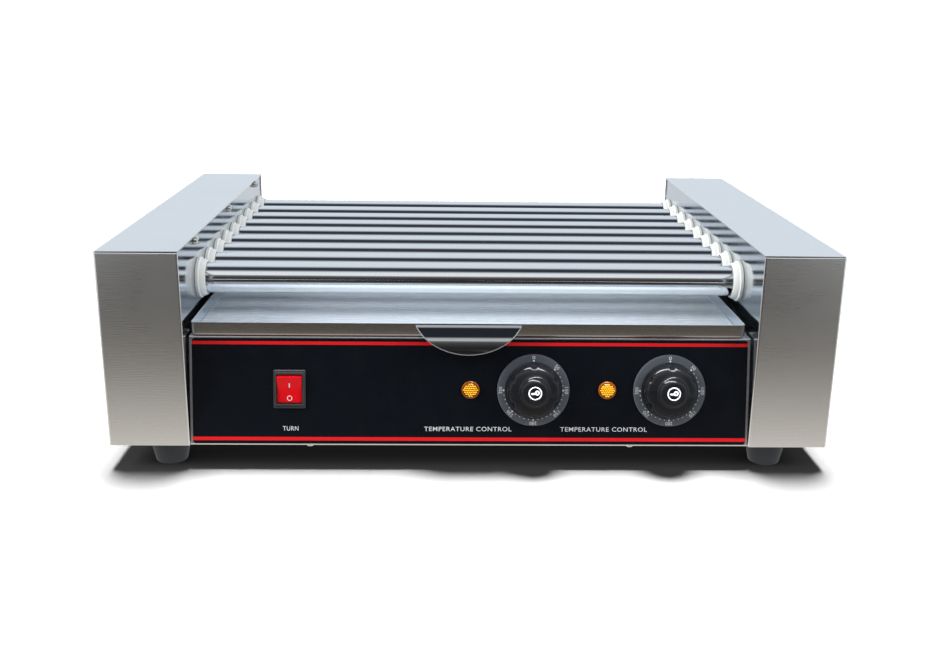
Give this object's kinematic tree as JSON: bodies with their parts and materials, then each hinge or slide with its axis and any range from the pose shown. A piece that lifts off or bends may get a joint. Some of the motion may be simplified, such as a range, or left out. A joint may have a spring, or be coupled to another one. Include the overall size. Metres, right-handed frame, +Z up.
{
  "type": "hot dog roller grill",
  "caption": "Countertop hot dog roller grill: chain-driven heated rollers between steel end housings, over a slide-out drip tray and a sloped control panel.",
  "frame": {"origin": "on the standing surface, below the middle of the grill", "axes": "+X along the rollers, to the right as seen from the control panel; +Y from the control panel to the back; +Z up"},
  "size_m": [0.58, 0.4236, 0.179],
  "materials": {
    "brushed_steel": "fine horizontal brushed grain",
    "polished_steel": "mirror polished",
    "roller_chrome": "polished",
    "sheet_steel": "satin",
    "screw_steel": "bright",
    "bush_white": "smooth, slightly waxy",
    "overlay_black": "semi-gloss printed film",
    "print_red": "printed ink",
    "print_white": "printed ink",
    "black_plastic": "satin moulded",
    "rocker_red": "glossy moulded",
    "lamp_amber": "glossy moulded lens",
    "dial_black": "satin moulded",
    "knob_black": "glossy moulded",
    "thermostat_body": "moulded",
    "heater_grey": "dull, heat stained",
    "motor_grey": "satin",
    "sprocket_steel": "oiled",
    "chain_steel": "oiled",
    "terminal_white": "moulded",
    "foot_rubber": "matte"
  },
  "bodies": {
    "root": {"left_end_cover": "brushed_steel", "right_end_cover": "brushed_steel", "left_side_plate": "polished_steel", "right_side_plate": "polished_steel", "cover_screw_1": "screw_steel", "cover_screw_2": "screw_steel", "cover_screw_3": "screw_steel", "base_pan": "sheet_steel", "rear_panel": "brushed_steel", "cord_gland": "black_plastic", "front_panel": "brushed_steel", "control_overlay": "overlay_black", "switch_housing": "black_plastic", "indicator_lamp_left": "lamp_amber", "indicator_lamp_right": "lamp_amber", "dial_ring_left": "dial_black", "dial_ring_right": "dial_black", "thermostat_left": "thermostat_body", "thermostat_right": "thermostat_body", "roller_bush_left_1": "bush_white", "roller_bush_left_2": "bush_white", "roller_bush_left_3": "bush_white", "roller_bush_left_4": "bush_white", "roller_bush_left_5": "bush_white", "roller_bush_left_6": "bush_white", "roller_bush_left_7": "bush_white", "roller_bush_left_8": "bush_white", "roller_bush_left_9": "bush_white", "roller_bush_right_1": "bush_white", "roller_bush_right_2": "bush_white", "roller_bush_right_3": "bush_white", "roller_bush_right_4": "bush_white", "roller_bush_right_5": "bush_white", "roller_bush_right_6": "bush_white", "roller_bush_right_7": "bush_white", "roller_bush_right_8": "bush_white", "roller_bush_right_9": "bush_white", "heater_bank": "heater_grey", "gear_motor": "motor_grey", "drive_chain": "chain_steel", "terminal_block": "terminal_white", "foot_front_left": "foot_rubber", "foot_front_right": "foot_rubber", "foot_back_left": "foot_rubber", "foot_back_right": "foot_rubber"},
    "roller_1": {"roller_1": "roller_chrome"},
    "roller_2": {"roller_2": "roller_chrome"},
    "roller_3": {"roller_3": "roller_chrome"},
    "roller_4": {"roller_4": "roller_chrome"},
    "roller_5": {"roller_5": "roller_chrome"},
    "roller_6": {"roller_6": "roller_chrome"},
    "roller_7": {"roller_7": "roller_chrome"},
    "roller_8": {"roller_8": "roller_chrome"},
    "roller_9": {"roller_9": "roller_chrome"},
    "drive_sprocket": {"drive_sprocket": "sprocket_steel"},
    "tray": {"drip_tray": "brushed_steel", "tray_handle": "polished_steel"},
    "rocker": {"switch_rocker": "rocker_red"},
    "knob_left": {"thermostat_knob_left": "knob_black"},
    "knob_right": {"thermostat_knob_right": "knob_black"}
  },
  "joints": [
    {"name": "roller_1_spin", "type": "hinge", "parent": "root", "child": "roller_1", "pos_m": [0, -0.1277, 0.1415], "axis": [1, 0, 0], "continuous": true},
    {"name": "roller_2_spin", "type": "hinge", "parent": "root", "child": "roller_2", "pos_m": [0, -0.0896, 0.1415], "axis": [1, 0, 0], "continuous": true},
    {"name": "roller_3_spin", "type": "hinge", "parent": "root", "child": "roller_3", "pos_m": [0, -0.0515, 0.1415], "axis": [1, 0, 0], "continuous": true},
    {"name": "roller_4_spin", "type": "hinge", "parent": "root", "child": "roller_4", "pos_m": [0, -0.0134, 0.1415], "axis": [1, 0, 0], "continuous": true},
    {"name": "roller_5_spin", "type": "hinge", "parent": "root", "child": "roller_5", "pos_m": [0, 0.0247, 0.1415], "axis": [1, 0, 0], "continuous": true},
    {"name": "roller_6_spin", "type": "hinge", "parent": "root", "child": "roller_6", "pos_m": [0, 0.0628, 0.1415], "axis": [1, 0, 0], "continuous": true},
    {"name": "roller_7_spin", "type": "hinge", "parent": "root", "child": "roller_7", "pos_m": [0, 0.1009, 0.1415], "axis": [1, 0, 0], "continuous": true},
    {"name": "roller_8_spin", "type": "hinge", "parent": "root", "child": "roller_8", "pos_m": [0, 0.139, 0.1415], "axis": [1, 0, 0], "continuous": true},
    {"name": "roller_9_spin", "type": "hinge", "parent": "root", "child": "roller_9", "pos_m": [0, 0.1771, 0.1415], "axis": [1, 0, 0], "continuous": true},
    {"name": "drive_sprocket_spin", "type": "hinge", "parent": "root", "child": "drive_sprocket", "pos_m": [-0.24, 0.0247, 0.065], "axis": [1, 0, 0], "continuous": true},
    {"name": "tray_slide", "type": "slide", "parent": "root", "child": "tray", "axis": [0, -1, 0], "range_m": [0, 0.3]},
    {"name": "rocker_tip", "type": "hinge", "parent": "root", "child": "rocker", "pos_m": [-0.1456, -0.18865, 0.06483], "axis": [-1, 0, 0], "range_deg": [0, 18]},
    {"name": "thermostat_left_turn", "type": "hinge", "parent": "root", "child": "knob_left", "pos_m": [0.05, -0.18963, 0.06503], "axis": [0, 0.979, -0.2037], "range_deg": [-270, 0]},
    {"name": "thermostat_right_turn", "type": "hinge", "parent": "root", "child": "knob_right", "pos_m": [0.16, -0.18963, 0.06503], "axis": [0, 0.979, -0.2037], "range_deg": [-270, 0]}
  ],
  "couplings": [
    {"joint": "roller_2_spin", "follows": "roller_1_spin", "ratio": 1},
    {"joint": "roller_3_spin", "follows": "roller_1_spin", "ratio": 1},
    {"joint": "roller_4_spin", "follows": "roller_1_spin", "ratio": 1},
    {"joint": "roller_5_spin", "follows": "roller_1_spin", "ratio": 1},
    {"joint": "roller_6_spin", "follows": "roller_1_spin", "ratio": 1},
    {"joint": "roller_7_spin", "follows": "roller_1_spin", "ratio": 1},
    {"joint": "roller_8_spin", "follows": "roller_1_spin", "ratio": 1},
    {"joint": "roller_9_spin", "follows": "roller_1_spin", "ratio": 1},
    {"joint": "drive_sprocket_spin", "follows": "roller_1_spin", "ratio": 1.3333}
  ]
}
